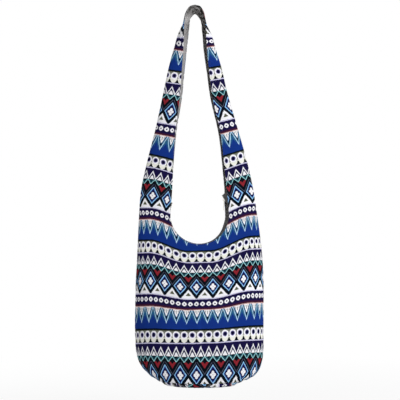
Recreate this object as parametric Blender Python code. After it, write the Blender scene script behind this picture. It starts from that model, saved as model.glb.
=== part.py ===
"""Shoulder bag of printed canvas, hanging from a hook by its strap, with its zip open.

Two printed panels, front and back, are each cut with a round mouth and two long arms. They are sewn
together along the outer edge, from the hook down both sides, and to an oval base. A lining of the
same cut lies inside them. The zip runs round the mouth.

Metres, +Z up, the front towards -Y. The origin is where the hook carries the strap, under the lining.
"""

import math

import bmesh
import bpy
import numpy as np
from mathutils import Matrix, Vector

# Cloth, from the inside of the bag outwards, and the room between pieces that touch
LINING = 0.0008
CLOTH = 0.0012
GAP = 0.0003
LEAST_LEAN = 0.5  # layers spread along a seam by at most their thickness over this

# Strap: one half of the folded strap, from its outer seam to its open edge
STRAP_HALF = 0.025
STRAIGHT_RUN = 0.095  # the strap keeps its width this far from the hook
STRAP_TAPER = 1.2  # how gently it widens below that, as a power
FOLD_ANGLE = math.radians(13)  # how far each half opens from the middle of the folded strap
HOOK_ROLL = math.radians(147)  # over the hook the halves lie open, with their edges turned up
ROLL_FADE = 0.070
BACK_EXTRA = 0.005  # the back half reaches this much further in than the front half below the hook
BACK_EXTRA_RUN = 0.26  # and is level with it again this far down the strap
ARCH_SPREAD = 0.036  # the arch over the hook, to each side
ARCH_DROP = 0.047
ARCH_LEVEL = 0.006  # control points of the seam's curve, as far from the hook and above the arch's foot
ARCH_PULL = 0.030
ARM_SLOPE = math.radians(18)  # the arms' lean from upright just below the arch
ARM_PULL = 0.150  # control points of the arm's curve, below the arch and above the mouth
SHOULDER_PULL = 0.100
SHOULDER_FLARE = 0.08  # how far the side seams still spread, for each metre down, at the mouth

# Mouth: a round opening whose middle lies this far below the hook and to its right
MOUTH_DROP = 0.5025
MOUTH_RADIUS = 0.073
LEAN = 0.01125
LEAN_START = 0.15
LEVEL_RUN = 0.12  # over this length above the mouth the ribs turn level
SHOULDER_RUN = 0.10  # and the folded strap opens into the body

# Body: half widths between the side seams, and half depths from the seams to each face
SHOULDER_HALF_WIDTH = 0.1455
BODY_HALF_WIDTH = 0.1565
FULL_WIDTH_DROP = 0.75
BASE_DROP = 0.926
BASE_HALF_WIDTH = 0.103
CORNER_HEIGHT = 0.081
CORNER_FULLNESS = 1.6
SHOULDER_DEPTH = 0.0185
MOUTH_DEPTH = 0.025
FULL_DEPTH_DROP = 0.80
FRONT_DEPTH = 0.062
BACK_DEPTH = 0.047
BASE_FRONT_DEPTH = 0.054
BASE_BACK_DEPTH = 0.043
SECTION_FULLNESS = 2.4
BASE_SAG = 0.008
BASE_FLAT_RIM = 0.90  # share of the base's half width inside its flat seam allowance

# Zip
HEM = 0.0045  # printed cloth shown beyond the lining at the open edge
TAPE_SETBACK = 0.002
TAPE = 0.0006
TOOTH_DEPTH = 0.003
TOOTH_CUT = 0.002
TOOTH_HEIGHT = 0.0022
TOOTH_PITCH = 0.005
ZIP_RADIUS = MOUTH_RADIUS + TAPE_SETBACK
ZIP_START = math.radians(37)  # right end, above the mouth's widest point
ZIP_END = math.radians(-200)  # left end, the long way down and round
ZIP_SPARE = math.radians(4)  # plain tape past each end of the teeth
OPEN_HALF_GAP = 0.009
JOIN_END = math.radians(27)
OPEN_START = math.radians(-25)
STOP_LENGTH = 0.0025

# Slider and pull
SLIDER_LENGTH = 0.011
SLIDER_NOSE = 0.010  # width at the end that opens the teeth
SLIDER_TAIL = 0.008
SLIDER_CHAMFER = 0.0016
WEB_SETBACK = 0.003
PLATE = 0.001
WEB_HALF = 0.0012
RUN_CLEARANCE = 0.0004
SLIDER_STOP_GAP = 0.001
BRIDGE_WIDTH = 0.0018
BRIDGE_HALF_LENGTH = 0.0038
BRIDGE_BAND = 0.0009
BRIDGE_HEIGHT = 0.0035
PULL_LENGTH = 0.026
PULL_WIDTH = 0.006
PULL_EYE_WIDTH = 0.0042
PULL_NECK = 0.007  # from its bar to where the eye ends, and to where it has its full width
PULL_SHOULDER = 0.011
PULL_THICKNESS = 0.0012
EYE_CLEARANCE = 0.0004
PULL_HOLE = 0.0022
PULL_HOLE_RISE = 0.004

# Mesh fineness
ARM_STEPS = 18
HOOK_FINENESS = 1.6  # how much closer together the arm's ribs are at the hook, as a power
SIDE_STEPS = 11
STRAIGHT_SHARE = 0.55  # share of those on the straight stretch above the corner
BASE_STEPS = 5
ACROSS_STEPS = 6
BASE_RINGS = 4
TAPE_STEPS = 42
BRIDGE_STEPS = 8
PULL_END_STEPS = 6
HOLE_STEPS = 12
ARCH_LENGTH_STEPS = 40

JOINED_HALF_GAP = WEB_HALF + GAP
SLIDER_REST = ZIP_START - (0.5 * SLIDER_LENGTH + SLIDER_STOP_GAP) / ZIP_RADIUS
MOUTH = Vector((LEAN, 0.0, -MOUTH_DROP))


def ease(start, end, value):
    """0 before start, 1 past end, and a smooth rise between them."""
    share = min(1.0, max(0.0, (value - start) / (end - start)))
    return share * share * (3 - 2 * share)


def through(stations, value):
    """A smooth curve through (place, size) stations, read at one place and level past its ends."""
    places = [station[0] for station in stations]
    sizes = [station[1] for station in stations]
    value = min(places[-1], max(places[0], value))
    slopes = list(np.gradient(sizes, places))
    span = max(i for i in range(len(places) - 1) if places[i] <= value)
    width = places[span + 1] - places[span]
    t = (value - places[span]) / width
    start = (1 + 2 * t) * (1 - t) ** 2 * sizes[span] + t * (1 - t) ** 2 * width * slopes[span]
    end = t * t * (3 - 2 * t) * sizes[span + 1] + t * t * (t - 1) * width * slopes[span + 1]
    return start + end


def bezier(points, t):
    a, b, c, d = (np.array(point) for point in points)
    return (1 - t) ** 3 * a + 3 * t * (1 - t) ** 2 * b + 3 * t * t * (1 - t) * c + t**3 * d


def strap_seam():
    """The outer seam from the hook to the mouth's middle height, as (spread, height) points."""
    lean = np.array((math.sin(ARM_SLOPE), -math.cos(ARM_SLOPE)))
    foot = np.array((ARCH_SPREAD, -ARCH_DROP))
    end = np.array((SHOULDER_HALF_WIDTH, -MOUTH_DROP))
    flare = np.array((-SHOULDER_FLARE, 1))
    arch = ((0, 0), (ARCH_LEVEL, 0), foot - ARCH_PULL * lean, foot)
    arm = (foot, foot + ARM_PULL * lean, end + SHOULDER_PULL * flare, end)
    steps = np.linspace(0, 1, ARCH_LENGTH_STEPS + 1)
    return np.array([bezier(arch, t) for t in steps] + [bezier(arm, t) for t in steps[1:]])


def lean_at(height):
    return LEAN * ease(LEAN_START, MOUTH_DROP, -height)


def half_width(height):
    """Half the width between the side seams, from the mouth's middle down to the base."""
    drop = -height
    rise = max(0.0, 1 - (drop - MOUTH_DROP) / (FULL_WIDTH_DROP - MOUTH_DROP))
    width = BODY_HALF_WIDTH - (BODY_HALF_WIDTH - SHOULDER_HALF_WIDTH) * rise**2
    share = min(1.0, max(0.0, (drop - BASE_DROP + CORNER_HEIGHT) / CORNER_HEIGHT))
    corner = max(0.0, 1 - share**CORNER_FULLNESS) ** (1 / CORNER_FULLNESS)
    return BASE_HALF_WIDTH + (width - BASE_HALF_WIDTH) * corner


def half_depth(height, full, base):
    stations = (
        (MOUTH_DROP, SHOULDER_DEPTH),
        (MOUTH_DROP + MOUTH_RADIUS, MOUTH_DEPTH),
        (FULL_DEPTH_DROP, full),
        (BASE_DROP, base),
    )
    return through(stations, -height)


def section(share):
    """The rounded outline of a face across its width: 1 in the middle and 0 at the seam."""
    return max(0.0, 1 - min(1.0, abs(share)) ** SECTION_FULLNESS) ** (1 / SECTION_FULLNESS)


def across():
    """Places from the open edge (0) to the seam (1), closer together towards the seam."""
    return [math.sin(0.5 * math.pi * k / ACROSS_STEPS) for k in range(ACROSS_STEPS + 1)]


def arm_ribs(full, base, extra):
    """Ribs of one arm from the hook down, each a row of (spread, depth, height) points."""
    seam = strap_seam()
    lengths = np.concatenate(([0], np.cumsum(np.hypot(*np.diff(seam, axis=0).T))))
    total = lengths[-1]
    low_half = (SHOULDER_HALF_WIDTH - MOUTH_RADIUS) / math.cos(FOLD_ANGLE)
    ribs = []
    for step in range(ARM_STEPS):
        length = total * (step / ARM_STEPS) ** HOOK_FINENESS
        spot = np.array([np.interp(length, lengths, seam[:, axis]) for axis in (0, 1)])
        ahead = np.array([np.interp(length + 0.003, lengths, seam[:, axis]) for axis in (0, 1)])
        run = ahead - spot if step else np.array((1.0, 0.0))
        level = ease(total - LEVEL_RUN, total, length)
        turn = math.atan2(run[0], -run[1]) * (1 - level)
        inward = np.array((-math.cos(turn), -math.sin(turn)))
        taper = max(0.0, (length - STRAIGHT_RUN) / (total - STRAIGHT_RUN)) ** STRAP_TAPER
        width = STRAP_HALF + (low_half - STRAP_HALF) * taper
        width += extra * ease(0, ARCH_DROP, length) * ease(BACK_EXTRA_RUN, ARCH_DROP, length)
        roll = FOLD_ANGLE + (HOOK_ROLL - FOLD_ANGLE) * math.exp(-((length / ROLL_FADE) ** 2))
        side_reach, deep_reach = width * math.cos(roll), width * math.sin(roll)
        bend = deep_reach / (1 + math.sin(roll))
        body = ease(total - SHOULDER_RUN, total, length)
        rib = []
        for k in range(ACROSS_STEPS + 1):
            u = 1 - k / ACROSS_STEPS
            spread, height = spot + inward * side_reach * u * u
            folded = 2 * u * (1 - u) * bend + u * u * deep_reach
            filled = half_depth(height, full, base) * section(spread / spot[0] if body else 0)
            depth = max(0.5 * GAP, folded + (filled - folded) * body)
            rib.append((spread, depth, height))
        ribs.append(rib)
    return ribs


def body_ribs(full, base):
    """Ribs from the mouth to the side seam, round the lower corner and along half of the base."""
    side_drop = BASE_DROP - CORNER_HEIGHT - MOUTH_DROP
    ends = []
    for step in range(SIDE_STEPS + 1):
        share = step / SIDE_STEPS
        straight = min(1.0, share / STRAIGHT_SHARE) * side_drop
        turned = max(0.0, share - STRAIGHT_SHARE) / (1 - STRAIGHT_SHARE)
        corner = math.sin(0.5 * math.pi * turned) * CORNER_HEIGHT
        height = -MOUTH_DROP - straight - corner
        ends.append((half_width(height), height))
    for step in range(1, BASE_STEPS + 1):
        turn = 0.5 * math.pi * step / BASE_STEPS
        ends.append((BASE_HALF_WIDTH * math.cos(turn) ** (2 / SECTION_FULLNESS), -BASE_DROP))
    ends[-1] = (0.0, -BASE_DROP)
    runs = np.hypot(*np.diff(np.array(ends), axis=0).T)
    shares = np.concatenate(([0], np.cumsum(runs))) / sum(runs)
    ribs = []
    for (end_spread, end_height), share in zip(ends, shares):
        turn = 0.5 * math.pi * share
        edge = np.array((MOUTH_RADIUS * math.cos(turn), -MOUTH_DROP - MOUTH_RADIUS * math.sin(turn)))
        rib = []
        for t in across():
            spread, height = edge + (np.array((end_spread, end_height)) - edge) * t
            filled = half_depth(height, full, base) * section(spread / half_width(height))
            rib.append((max(0.0, spread), max(0.5 * GAP, filled), height))
        ribs.append(rib)
    return ribs


def face_grid(side, full, base, extra):
    """A closed ring of ribs for one face, and the outward normals at its points.

    The ring starts over the hook and runs down the right arm, along the base and up the left arm.
    Its second row of points is where the lining starts. side is -1 for the front, 1 for the back.
    """
    half = arm_ribs(full, base, extra) + body_ribs(full, base)
    rows = [[(s + lean_at(h), side * d, h) for s, d, h in rib] for rib in half]
    rows += [[(lean_at(h) - s, side * d, h) for s, d, h in rib] for rib in half[-2:0:-1]]
    points = np.array(rows)
    along = np.roll(points, -1, axis=0) - np.roll(points, 1, axis=0)
    over = np.gradient(points, axis=1)
    normals = np.cross(along, over) * side
    normals /= np.linalg.norm(normals, axis=2, keepdims=True)
    if normals[len(half) - 1, 0, 1] * side < 0:
        normals = -normals
    on_base = points[:, -1, 2] < -BASE_DROP + 1e-6
    on_side = np.abs(points[:, -1, 1]) < GAP
    flat = normals[:, -1].copy()
    flat[on_side, 1] = 0
    flat[on_base, 2] = 0
    flat /= np.linalg.norm(flat, axis=1, keepdims=True)
    lean = np.sum(flat * normals[:, -1], axis=1, keepdims=True)
    lean[on_base & on_side] = 1
    normals[:, -1] = flat / np.maximum(lean, LEAST_LEAN)
    hem_points, hem_normals = edge_row(points, normals, HEM)
    points = np.insert(points, 1, hem_points, axis=1)
    normals = np.insert(normals, 1, hem_normals, axis=1)
    return points, normals


def edge_row(points, normals, distance):
    """Points and normals on the first strip of facets, this far in from the open edge."""
    reach = np.linalg.norm(points[:, 1] - points[:, 0], axis=1, keepdims=True)
    share = distance / reach
    spots = points[:, 0] + (points[:, 1] - points[:, 0]) * share
    return spots, normals[:, 0] + (normals[:, 1] - normals[:, 0]) * share


def material(name, colour, roughness, metallic=0.0):
    made = bpy.data.materials.new(name)
    made.use_nodes = True
    shader = made.node_tree.nodes["Principled BSDF"]
    shader.inputs["Base Color"].default_value = (*colour, 1.0)
    shader.inputs["Roughness"].default_value = roughness
    shader.inputs["Metallic"].default_value = metallic
    made.diffuse_color = (*colour, 1.0)
    return made


def add_object(name, bm, look, smooth=True):
    """Turns a bmesh into a named object with its faces pointing out."""
    bmesh.ops.recalc_face_normals(bm, faces=bm.faces)
    mesh = bpy.data.meshes.new(name)
    bm.to_mesh(mesh)
    bm.free()
    mesh.materials.append(look)
    if smooth:
        mesh.shade_smooth()
        mesh.set_sharp_from_angle(angle=math.radians(40))
    made = bpy.data.objects.new(name, mesh)
    bpy.context.scene.collection.objects.link(made)
    return made


def lofted(name, sections, look, closed=False):
    """A solid through sections of equal point counts, closed in a ring or capped at both ends.

    A section runs out along one skin and back along the other. Both skins split their quads along
    the same diagonal, so layers laid on each other stay parallel where the cloth twists.
    """
    bm = bmesh.new()
    rows = [[bm.verts.new(point) for point in section_points] for section_points in sections]
    count = len(rows[0])
    for i in range(len(rows) - (0 if closed else 1)):
        here, ahead = rows[i], rows[(i + 1) % len(rows)]
        for k in range(count):
            side = (k + 1) % count
            split = (here[side], ahead[k]) if k < count // 2 else (here[k], ahead[side])
            bm.faces.new((here[k], here[side], split[1]))
            bm.faces.new((split[0], ahead[side], ahead[k]))
    if not closed:
        bm.faces.new(rows[0])
        bm.faces.new(list(reversed(rows[-1])))
    return add_object(name, bm, look)


def cloth_layer(name, points, normals, inner, outer, look):
    """One layer of a face: the ring of ribs thickened between two offsets along its normals."""
    sections = []
    for row, ways in zip(points, normals):
        inside = [tuple(p + n * inner) for p, n in zip(row, ways)]
        outside = [tuple(p + n * outer) for p, n in zip(row, ways)]
        sections.append(inside + outside[::-1])
    return lofted(name, sections, look, closed=True)


def base_plate(name, half_width_x, depths, bottom, thickness, look):
    """An oval of cloth with a flat rim that sags a little in its middle."""
    front, back = depths
    steps = 4 * BASE_STEPS
    bm = bmesh.new()

    def point(ring, step, height):
        turn = 2 * math.pi * step / steps
        share = ring / BASE_RINGS
        x = abs(math.cos(turn)) ** (2 / SECTION_FULLNESS) * math.copysign(1, math.cos(turn))
        y = abs(math.sin(turn)) ** (2 / SECTION_FULLNESS) * math.copysign(1, math.sin(turn))
        depth = back if y > 0 else front
        sag = BASE_SAG * max(0.0, 1 - (share / BASE_FLAT_RIM) ** 2)
        return (LEAN + share * half_width_x * x, share * depth * y, height - sag)

    layers = []
    for height in (bottom, bottom + thickness):
        middle = bm.verts.new(point(0, 0, height))
        rings = [
            [bm.verts.new(point(ring, step, height)) for step in range(steps)]
            for ring in range(1, BASE_RINGS + 1)
        ]
        for step in range(steps):
            ahead = (step + 1) % steps
            bm.faces.new((middle, rings[0][step], rings[0][ahead]))
            for inner, outer in zip(rings, rings[1:]):
                bm.faces.new((inner[step], outer[step], outer[ahead], inner[ahead]))
        layers.append(rings[-1])
    for step in range(steps):
        ahead = (step + 1) % steps
        bm.faces.new((layers[0][step], layers[0][ahead], layers[1][ahead], layers[1][step]))
    return add_object(name, bm, look)


def track(angle, radius, y):
    """A point of the zip: an angle about the mouth's middle, a radius and a depth."""
    return (MOUTH.x + radius * math.cos(angle), y, MOUTH.z + radius * math.sin(angle))


def row_gap(angle):
    """Half the gap between the rows of teeth: joined at the right end, open from there round."""
    opened = 1 - ease(OPEN_START, JOIN_END, angle)
    return JOINED_HALF_GAP + (OPEN_HALF_GAP - JOINED_HALF_GAP) * opened


def zip_tape(name, side, points, normals, look):
    """The strip from the inside of a panel's hem to the teeth."""
    spots, ways = edge_row(points, normals, TAPE_SETBACK)
    hems = spots + ways * LINING
    angles = np.arctan2(hems[:, 2] - MOUTH.z, hems[:, 0] - MOUTH.x)
    angles = np.where(angles > math.radians(90), angles - 2 * math.pi, angles)
    order = np.argsort(angles)
    sections = []
    for angle in np.linspace(ZIP_START + ZIP_SPARE, ZIP_END - ZIP_SPARE, TAPE_STEPS + 1):
        hem = [np.interp(angle, angles[order], hems[order, axis]) for axis in range(3)]
        hem_radius = math.hypot(hem[0] - MOUTH.x, hem[2] - MOUTH.z)
        teeth_side = side * (row_gap(angle) + TOOTH_DEPTH + GAP)
        sections.append(
            (
                track(angle, hem_radius - 0.5 * TAPE, hem[1]),
                track(angle, hem_radius + 0.5 * TAPE, hem[1]),
                track(angle, ZIP_RADIUS + 0.5 * TAPE, teeth_side),
                track(angle, ZIP_RADIUS - 0.5 * TAPE, teeth_side),
            )
        )
    return lofted(name, sections, look)


def zip_teeth(name, side, look):
    """A row of teeth on its cord, with the back row half a pitch on, so that the rows mesh."""
    length = (ZIP_START - ZIP_END) * ZIP_RADIUS
    stations = 2 * round(length / TOOTH_PITCH)
    low, high = ZIP_RADIUS - 0.5 * TOOTH_HEIGHT, ZIP_RADIUS + 0.5 * TOOTH_HEIGHT
    sections = []
    for station in range(stations + 1):
        angle = ZIP_START + (ZIP_END - ZIP_START) * station / stations
        near = row_gap(angle)
        root = (station + (side > 0)) % 2
        inner = side * (near + TOOTH_CUT * root)
        outer = side * (near + TOOTH_DEPTH)
        sections.append(
            (
                track(angle, low, inner),
                track(angle, high, inner),
                track(angle, high, outer),
                track(angle, low, outer),
            )
        )
    return lofted(name, sections, look)


def zip_stop(name, angle, near, far, look):
    """A small crimped block across the end of a row, or of both rows, between two depths."""
    half_turn = 0.5 * STOP_LENGTH / ZIP_RADIUS
    height = 0.5 * TOOTH_HEIGHT + PLATE
    sections = []
    for turn in (angle + half_turn, angle - half_turn):
        sections.append(
            (
                track(turn, ZIP_RADIUS - height, near),
                track(turn, ZIP_RADIUS + height, near),
                track(turn, ZIP_RADIUS + height, far),
                track(turn, ZIP_RADIUS - height, far),
            )
        )
    return lofted(name, sections, look)


def extruded(name, outline, axis, depth, look):
    """An outline in the plane across an axis ('X' or 'Y' or 'Z'), extruded evenly to both sides."""
    lay = {
        "X": lambda a, b, c: (c, a, b),
        "Y": lambda a, b, c: (a, c, b),
        "Z": lambda a, b, c: (a, b, c),
    }[axis]
    sections = [[lay(a, b, c) for a, b in outline] for c in (-0.5 * depth, 0.5 * depth)]
    return lofted(name, sections, look)


def combine(target, tool, operation):
    """Adds or cuts with a helper object, which stays hidden."""
    step = target.modifiers.new(tool.name, "BOOLEAN")
    step.operation = operation
    step.object = tool
    step.solver = "EXACT"
    tool.parent = target
    tool.hide_render = True
    tool.display_type = "WIRE"


def slider(look):
    """Two plates joined by a web between the rows, with a bridge over the top for the pull.

    It is modelled with its length along X, its width along Y and its top towards Z, and then turned
    to its rest on the zip, where the top faces the middle of the mouth.
    """
    nose, tail = 0.5 * SLIDER_NOSE, 0.5 * SLIDER_TAIL
    long = 0.5 * SLIDER_LENGTH
    cut = SLIDER_CHAMFER
    outline = (
        (-long, -tail + cut),
        (-long + cut, -tail),
        (long - cut, -nose),
        (long, -nose + cut),
        (long, nose - cut),
        (long - cut, nose),
        (-long + cut, tail),
        (-long, tail - cut),
    )
    inner_face = 0.5 * TOOTH_HEIGHT + RUN_CLEARANCE
    made = extruded("zip_slider", outline, "Z", PLATE, look)
    made.data.transform(Matrix.Translation((0, 0, inner_face + 0.5 * PLATE)))
    under = extruded("slider_under_plate", outline, "Z", PLATE, look)
    under.data.transform(Matrix.Translation((0, 0, -inner_face - 0.5 * PLATE)))
    reach = inner_face + 0.5 * PLATE
    web_long = long - WEB_SETBACK
    web_outline = ((-web_long, -reach), (web_long, -reach), (web_long, reach), (-web_long, reach))
    web = extruded("slider_web", web_outline, "Y", 2 * WEB_HALF, look)
    foot = inner_face + 0.5 * PLATE
    steps = BRIDGE_STEPS
    arch = []
    for inside in (False, True):
        for step in range(steps + 1):
            turn = math.pi * (step if not inside else steps - step) / steps
            half = BRIDGE_HALF_LENGTH - (BRIDGE_BAND if inside else 0)
            rise = BRIDGE_HEIGHT - (BRIDGE_BAND if inside else 0)
            arch.append((half * math.cos(turn), foot + (rise + 0.5 * PLATE) * math.sin(turn)))
    bridge = extruded("slider_bridge", arch, "Y", BRIDGE_WIDTH, look)
    for tool in (under, web, bridge):
        combine(made, tool, "UNION")
    made.matrix_world = rest_frame()
    return made


def rest_frame():
    """Where the slider rests: X along the zip towards its closed run, Z to the mouth's middle."""
    along = Vector((math.sin(SLIDER_REST), 0, -math.cos(SLIDER_REST)))
    up = Vector((-math.cos(SLIDER_REST), 0, -math.sin(SLIDER_REST)))
    wide = up.cross(along)
    turn = Matrix((along, wide, up)).transposed().to_4x4()
    return Matrix.Translation(track(SLIDER_REST, ZIP_RADIUS, 0)) @ turn


def pull_axis():
    """The pull's cross bar, under the middle of the slider's bridge."""
    top = 0.5 * TOOTH_HEIGHT + RUN_CLEARANCE + PLATE
    room = BRIDGE_HEIGHT - BRIDGE_BAND
    return rest_frame() @ Vector((0, 0, top + 0.5 * room))


def pull(look):
    """A flat tab on an eye, hanging from its cross bar, with a round hole near its end."""
    eye, wide = 0.5 * PULL_EYE_WIDTH, 0.5 * PULL_WIDTH
    bar = 0.5 * PULL_THICKNESS
    outline = [(-eye, bar), (-eye, -PULL_NECK), (-wide, -PULL_SHOULDER)]
    for step in range(PULL_END_STEPS + 1):
        turn = math.pi * (1 + step / PULL_END_STEPS)
        outline.append((wide * math.cos(turn), -PULL_LENGTH + wide + wide * math.sin(turn)))
    outline += [(wide, -PULL_SHOULDER), (eye, -PULL_NECK), (eye, bar)]
    made = extruded("zip_pull", outline, "X", PULL_THICKNESS, look)
    inner = 0.5 * BRIDGE_WIDTH + EYE_CLEARANCE
    far = math.hypot(BRIDGE_HALF_LENGTH, 0.5 * BRIDGE_HEIGHT) + 2 * EYE_CLEARANCE
    window = ((-inner, -bar), (inner, -bar), (inner, -far), (-inner, -far))
    eye_cut = extruded("pull_eye_cut", window, "X", 3 * PULL_THICKNESS, look)
    hole_z = -PULL_LENGTH + PULL_HOLE_RISE
    turns = [2 * math.pi * step / HOLE_STEPS for step in range(HOLE_STEPS)]
    ring = [(0.5 * PULL_HOLE * math.cos(t), hole_z + 0.5 * PULL_HOLE * math.sin(t)) for t in turns]
    hole_cut = extruded("pull_hole_cut", ring, "X", 3 * PULL_THICKNESS, look)
    for tool in (eye_cut, hole_cut):
        combine(made, tool, "DIFFERENCE")
    made.location = pull_axis()
    return made


def main():
    for old in list(bpy.data.objects):
        bpy.data.objects.remove(old, do_unlink=True)

    front_print = material("front printed canvas", (0.10, 0.16, 0.42), 0.85)
    back_print = material("back printed canvas", (0.09, 0.15, 0.40), 0.85)
    base_print = material("base printed canvas", (0.12, 0.17, 0.38), 0.85)
    front_inside = material("front lining cotton", (0.36, 0.34, 0.34), 0.9)
    back_inside = material("back lining cotton", (0.33, 0.31, 0.31), 0.9)
    base_inside = material("base lining cotton", (0.34, 0.32, 0.32), 0.9)
    tape_cloth = material("zip tape", (0.16, 0.16, 0.19), 0.9)
    teeth_plastic = material("zip teeth", (0.07, 0.07, 0.09), 0.45)
    metal = material("zip metal", (0.72, 0.72, 0.70), 0.35, 1.0)

    cloth_in, cloth_out = LINING + GAP, LINING + GAP + CLOTH
    faces = (
        ("front", -1, FRONT_DEPTH, BASE_FRONT_DEPTH, 0.0, front_print, front_inside),
        ("back", 1, BACK_DEPTH, BASE_BACK_DEPTH, BACK_EXTRA, back_print, back_inside),
    )
    for name, side, full, base, extra, print_look, lining_look in faces:
        points, normals = face_grid(side, full, base, extra)
        cloth_layer(name + "_panel", points, normals, cloth_in, cloth_out, print_look)
        cloth_layer(name + "_lining", points[:, 1:], normals[:, 1:], 0, LINING, lining_look)
        zip_tape(name + "_zip_tape", side, points, normals, tape_cloth)
        zip_teeth(name + "_zip_teeth", side, teeth_plastic)
        end = ZIP_END - (GAP + 0.5 * STOP_LENGTH) / ZIP_RADIUS
        near = row_gap(end) * side
        zip_stop(name + "_zip_stop", end, near, near + side * TOOTH_DEPTH, metal)

    depths = (BASE_FRONT_DEPTH + cloth_out, BASE_BACK_DEPTH + cloth_out)
    base_top = -BASE_DROP - GAP
    base_plate("base_panel", BASE_HALF_WIDTH + cloth_out, depths, base_top - CLOTH, CLOTH, base_print)
    inset = 1.5 * GAP
    depths = (BASE_FRONT_DEPTH - inset, BASE_BACK_DEPTH - inset)
    base_plate("base_lining", BASE_HALF_WIDTH - inset, depths, -BASE_DROP, LINING, base_inside)

    start = ZIP_START + (GAP + 0.5 * STOP_LENGTH) / ZIP_RADIUS
    across_rows = JOINED_HALF_GAP + TOOTH_DEPTH
    zip_stop("zip_bottom_stop", start, -across_rows, across_rows, metal)
    slider(metal)
    pull(metal)


main()
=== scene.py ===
import math

import bmesh
import bpy
import numpy as np
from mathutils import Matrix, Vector


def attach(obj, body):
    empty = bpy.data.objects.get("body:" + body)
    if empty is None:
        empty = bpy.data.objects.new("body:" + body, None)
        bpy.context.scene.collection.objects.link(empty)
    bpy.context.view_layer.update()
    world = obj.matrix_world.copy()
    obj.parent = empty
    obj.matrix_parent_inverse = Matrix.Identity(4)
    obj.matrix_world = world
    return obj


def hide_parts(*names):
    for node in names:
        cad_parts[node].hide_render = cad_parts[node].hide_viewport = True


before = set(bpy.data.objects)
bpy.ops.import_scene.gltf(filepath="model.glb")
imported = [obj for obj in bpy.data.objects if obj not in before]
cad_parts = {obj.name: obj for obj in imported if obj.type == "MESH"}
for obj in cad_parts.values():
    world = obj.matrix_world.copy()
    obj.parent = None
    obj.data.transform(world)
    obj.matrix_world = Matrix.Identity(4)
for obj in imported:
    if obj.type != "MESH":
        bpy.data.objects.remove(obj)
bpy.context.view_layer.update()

# Printed panels, front and back. Each is one cut of cotton canvas, a ring with a round mouth and two
# long arms. They are sewn together along the outer sides, so that each arm is a strip folded in half,
# and to an oval base. Both follow one surface, worked out here from the outline of the hanging bag.
MOUTH_X, MOUTH_Z, MOUTH_RADIUS = 0.01125, -0.5025, 0.073
MOUTH_LIP = 0.0165
BASE_Z, BASE_LEFT, BASE_RIGHT = -0.915, -0.090, 0.121
# Strap rows from the hook down: outer seam x and z, open edge x and z, depth of the open edge
LEFT_ARM = (
    (0.0, 0.0, 0.0, 0.0215, 0.013),
    (-0.003, -0.0012, -0.0125, 0.0180, 0.0135),
    (-0.010, -0.008, -0.0215, 0.0050, 0.017),
    (-0.020, -0.020, -0.0260, -0.0150, 0.0235),
    (-0.030, -0.032, -0.0262, -0.0330, 0.0245),
    (-0.0375, -0.045, -0.0265, -0.0460, 0.0225),
    (-0.050, -0.085, -0.0285, -0.0880, 0.013),
    (-0.0625, -0.130, -0.0325, -0.1380, 0.0085),
    (-0.0760, -0.193, -0.0370, -0.2030, 0.009),
    (-0.0965, -0.2875, -0.0490, -0.2990, 0.011),
    (-0.1205, -0.3825, -0.0552, -0.3970, 0.014),
    (-0.1325, -0.440, -0.0580, -0.4500, 0.0155),
)
RIGHT_ARM = (
    (0.0, 0.0, 0.0, 0.0215, 0.013),
    (0.003, -0.0012, 0.0120, 0.0185, 0.0135),
    (0.010, -0.008, 0.0200, 0.0070, 0.017),
    (0.018, -0.020, 0.0245, -0.0140, 0.0235),
    (0.027, -0.032, 0.0252, -0.0310, 0.0245),
    (0.0355, -0.045, 0.0262, -0.0450, 0.0225),
    (0.050, -0.090, 0.0295, -0.0900, 0.013),
    (0.0630, -0.131, 0.0350, -0.1400, 0.0085),
    (0.0775, -0.193, 0.0430, -0.2050, 0.009),
    (0.1045, -0.287, 0.0635, -0.3000, 0.011),
    (0.1310, -0.382, 0.0745, -0.3960, 0.014),
    (0.1435, -0.440, 0.0800, -0.4500, 0.0155),
)
# Side seams from the mouth's middle down to the ends of the base: x and z
LEFT_SIDE = (
    (-0.1375, -0.5025),
    (-0.1405, -0.565),
    (-0.1430, -0.620),
    (-0.1458, -0.670),
    (-0.1468, -0.735),
    (-0.1470, -0.805),
    (-0.1445, -0.845),
    (-0.1360, -0.872),
    (-0.1195, -0.893),
    (-0.1050, -0.905),
    (BASE_LEFT, BASE_Z + 0.002),
)
RIGHT_SIDE = (
    (0.1530, -0.5025),
    (0.1610, -0.560),
    (0.1665, -0.615),
    (0.1690, -0.670),
    (0.1692, -0.735),
    (0.1688, -0.800),
    (0.1680, -0.842),
    (0.1640, -0.872),
    (0.1550, -0.893),
    (0.1400, -0.906),
    (BASE_RIGHT, BASE_Z + 0.002),
)
BASE_ROWS = 6
SECTION_FULLNESS = 2.15
# Half depth of each face at the middle of its width: height and depth
FRONT_DEPTHS = ((-0.915, 0.054), (-0.800, 0.062), (-0.5755, 0.025), (-0.5025, 0.0185))
BACK_DEPTHS = ((-0.915, 0.043), (-0.800, 0.047), (-0.5755, 0.025), (-0.5025, 0.0185))
# How far the back cut reaches past the front one at its open edge, by height: left and right
BACK_REACH = (
    (-0.58, 0.0, 0.0),
    (-0.56, 0.0, 0.004),
    (-0.53, 0.0, 0.0085),
    (-0.47, 0.0, 0.0085),
    (-0.44, 0.0, 0.005),
    (-0.38, 0.0, 0.0045),
    (-0.26, 0.003, 0.0045),
    (-0.15, 0.0065, 0.006),
    (-0.09, 0.0078, 0.008),
    (-0.065, 0.0090, 0.008),
    (-0.035, 0.0115, 0.009),
    (-0.012, 0.0140, 0.009),
)
RIBS_DOWN = 300
POINTS_ACROSS = 44
LINING_CLOTH, LAYER_GAP, CANVAS = 0.0008, 0.0003, 0.0012


def ease(start, end, value):
    share = np.clip((value - start) / (end - start), 0, 1)
    return share * share * (3 - 2 * share)


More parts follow.
